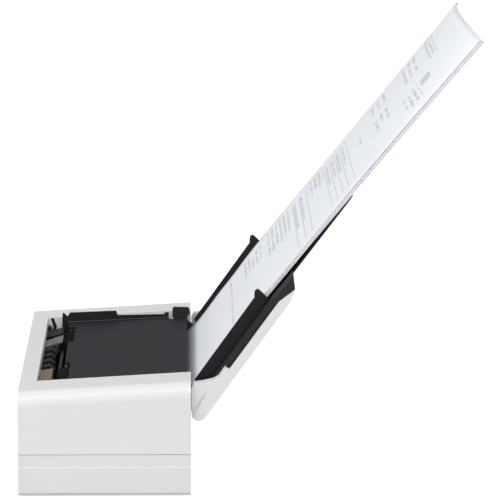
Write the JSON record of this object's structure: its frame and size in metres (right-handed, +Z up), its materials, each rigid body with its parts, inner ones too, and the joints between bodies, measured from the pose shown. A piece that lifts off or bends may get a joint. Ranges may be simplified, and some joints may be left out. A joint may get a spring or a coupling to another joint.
{
  "type": "sheet-fed document scanner",
  "caption": "Compact reception-counter sheet scanner: white box, hinged rear cover opened as a feed chute with side guides and pull-out extension, loaded with sheets.",
  "frame": {"origin": "centre of the body's footprint, on the plane that its feet stand on", "axes": "+X to the machine's right seen from behind it (width), +Y from the front edge to the rear where the cover hinges, +Z up"},
  "size_m": [0.296, 0.2816, 0.2747],
  "materials": {
    "casing_white": "fine satin texture",
    "black_plastic": "fine matt texture",
    "charcoal_plastic": "fine matt texture",
    "rubber": "matt",
    "steel": "satin",
    "bronze": "satin spring sheet",
    "acetal": "smooth",
    "grey_plastic": "smooth",
    "light_grey_plastic": "satin",
    "blue_plastic": "satin",
    "status_lens": "clear",
    "scan_glass": "clear, polished",
    "circuit_board": "solder-masked board",
    "paper": "uncoated office paper"
  },
  "bodies": {
    "chassis": {"base_tray": "casing_white", "top_housing": "casing_white", "foot_1": "rubber", "foot_2": "rubber", "foot_3": "rubber", "foot_4": "rubber", "rest_pad": "rubber", "stacker_plate": "charcoal_plastic", "stacker_wall_left": "black_plastic", "stacker_wall_right": "black_plastic", "side_frame_left": "steel", "side_frame_right": "steel", "lower_guide": "black_plastic", "core_guide": "black_plastic", "scan_head_lower": "black_plastic", "scan_glass_lower": "scan_glass", "scan_head_upper": "black_plastic", "scan_glass_upper": "scan_glass", "drive_motor": "steel", "timing_belt": "rubber", "exit_spring_left": "steel", "exit_spring_right": "bronze", "exit_strip": "grey_plastic", "exit_comb": "black_plastic", "main_board": "circuit_board", "dc_inlet": "black_plastic", "usb_socket": "steel", "button_panel": "charcoal_plastic", "status_window": "status_lens", "hinge_pin_left": "steel", "hinge_pin_right": "steel"},
    "cover": {"cover_shell": "casing_white", "chute_plate": "charcoal_plastic"},
    "left_guide": {"guide_left": "black_plastic"},
    "right_guide": {"guide_right": "black_plastic"},
    "pinion": {"guide_pinion": "acetal"},
    "extension": {"extension_tray": "black_plastic"},
    "documents": {"document_stack": "paper"},
    "scan_key": {"scan_button": "blue_plastic"},
    "power_key": {"power_button": "light_grey_plastic"},
    "pick_rotor": {"pick_shaft": "steel", "pick_roller": "rubber", "pick_pulley": "acetal"},
    "brake_rotor": {"brake_shaft": "steel", "brake_roller": "rubber"},
    "drive_rotor": {"drive_shaft": "steel", "drive_roller_left": "rubber", "drive_roller_right": "rubber", "drive_pulley": "acetal"},
    "exit_rotor": {"exit_shaft": "steel", "exit_roller_left": "rubber", "exit_roller_right": "rubber", "exit_pulley": "acetal"},
    "motor_rotor": {"motor_pulley": "bronze"},
    "drive_idler_left": {"drive_idler_left": "grey_plastic"},
    "drive_idler_right": {"drive_idler_right": "grey_plastic"},
    "exit_idler_left": {"exit_idler_left": "grey_plastic"},
    "exit_idler_right": {"exit_idler_right": "grey_plastic"},
    "sensor_lever": {"exit_sensor_lever": "black_plastic"}
  },
  "joints": [
    {"name": "cover_hinge", "type": "hinge", "parent": "chassis", "child": "cover", "pos_m": [0, 0.047, 0.0665], "axis": [1, 0, 0], "range_deg": [0, 129.2]},
    {"name": "right_guide_slide", "type": "slide", "parent": "cover", "child": "right_guide", "axis": [-1, 0, 0], "range_m": [0, 0.058], "deforming": ["document_stack"]},
    {"name": "left_guide_slide", "type": "slide", "parent": "cover", "child": "left_guide", "axis": [1, 0, 0], "range_m": [0, 0.058]},
    {"name": "guide_pinion_spin", "type": "hinge", "parent": "cover", "child": "pinion", "pos_m": [0, 0.06776, 0.06261], "axis": [0, -0.8097, 0.5868], "range_deg": [-831, 0]},
    {"name": "extension_slide", "type": "slide", "parent": "cover", "child": "extension", "axis": [0, 0.5868, 0.8097], "range_m": [-0.058, 0]},
    {"name": "documents_lift", "type": "slide", "parent": "cover", "child": "documents", "axis": [0, 0.5868, 0.8097], "range_m": [0, 0.12]},
    {"name": "scan_button_press", "type": "slide", "parent": "chassis", "child": "scan_key", "axis": [0, 1, 0], "range_m": [0, 0.0008], "stiffness_N_per_m": 300},
    {"name": "power_button_press", "type": "slide", "parent": "chassis", "child": "power_key", "axis": [0, 1, 0], "range_m": [0, 0.0008], "stiffness_N_per_m": 300},
    {"name": "drive_spin", "type": "hinge", "parent": "chassis", "child": "drive_rotor", "pos_m": [0, -0.008, 0.01784], "axis": [1, 0, 0], "continuous": true},
    {"name": "pick_spin", "type": "hinge", "parent": "chassis", "child": "pick_rotor", "pos_m": [0, 0.0279, 0.04099], "axis": [1, 0, 0], "continuous": true},
    {"name": "exit_spin", "type": "hinge", "parent": "chassis", "child": "exit_rotor", "pos_m": [0, -0.0262, 0.0535], "axis": [1, 0, 0], "continuous": true},
    {"name": "motor_spin", "type": "hinge", "parent": "chassis", "child": "motor_rotor", "pos_m": [0, 0, 0.0485], "axis": [1, 0, 0], "continuous": true},
    {"name": "brake_spin", "type": "hinge", "parent": "chassis", "child": "brake_rotor", "pos_m": [0, 0.03802, 0.03267], "axis": [1, 0, 0], "continuous": true},
    {"name": "drive_idler_left_spin", "type": "hinge", "parent": "chassis", "child": "drive_idler_left", "pos_m": [0, -0.008, 0.00724], "axis": [1, 0, 0], "continuous": true},
    {"name": "drive_idler_right_spin", "type": "hinge", "parent": "chassis", "child": "drive_idler_right", "pos_m": [0, -0.008, 0.00724], "axis": [1, 0, 0], "continuous": true},
    {"name": "exit_idler_left_spin", "type": "hinge", "parent": "chassis", "child": "exit_idler_left", "pos_m": [0, -0.0368, 0.0535], "axis": [1, 0, 0], "continuous": true},
    {"name": "exit_idler_right_spin", "type": "hinge", "parent": "chassis", "child": "exit_idler_right", "pos_m": [0, -0.0368, 0.0535], "axis": [1, 0, 0], "continuous": true},
    {"name": "sensor_lever_tilt", "type": "hinge", "parent": "chassis", "child": "sensor_lever", "pos_m": [-0.10475, -0.039, 0.0525], "axis": [1, 0, 0], "range_deg": [-25, 0], "stiffness_Nm_per_rad": 0.001}
  ],
  "couplings": [
    {"joint": "left_guide_slide", "follows": "right_guide_slide", "ratio": 1},
    {"joint": "guide_pinion_spin", "follows": "right_guide_slide", "rad_per_m": -250},
    {"joint": "pick_spin", "follows": "drive_spin", "ratio": 1},
    {"joint": "exit_spin", "follows": "drive_spin", "ratio": 1},
    {"joint": "motor_spin", "follows": "drive_spin", "ratio": 1},
    {"joint": "drive_idler_left_spin", "follows": "drive_spin", "ratio": -2.3333},
    {"joint": "drive_idler_right_spin", "follows": "drive_spin", "ratio": -2.3333},
    {"joint": "exit_idler_left_spin", "follows": "drive_spin", "ratio": -1.8571},
    {"joint": "exit_idler_right_spin", "follows": "drive_spin", "ratio": -1.8571}
  ]
}
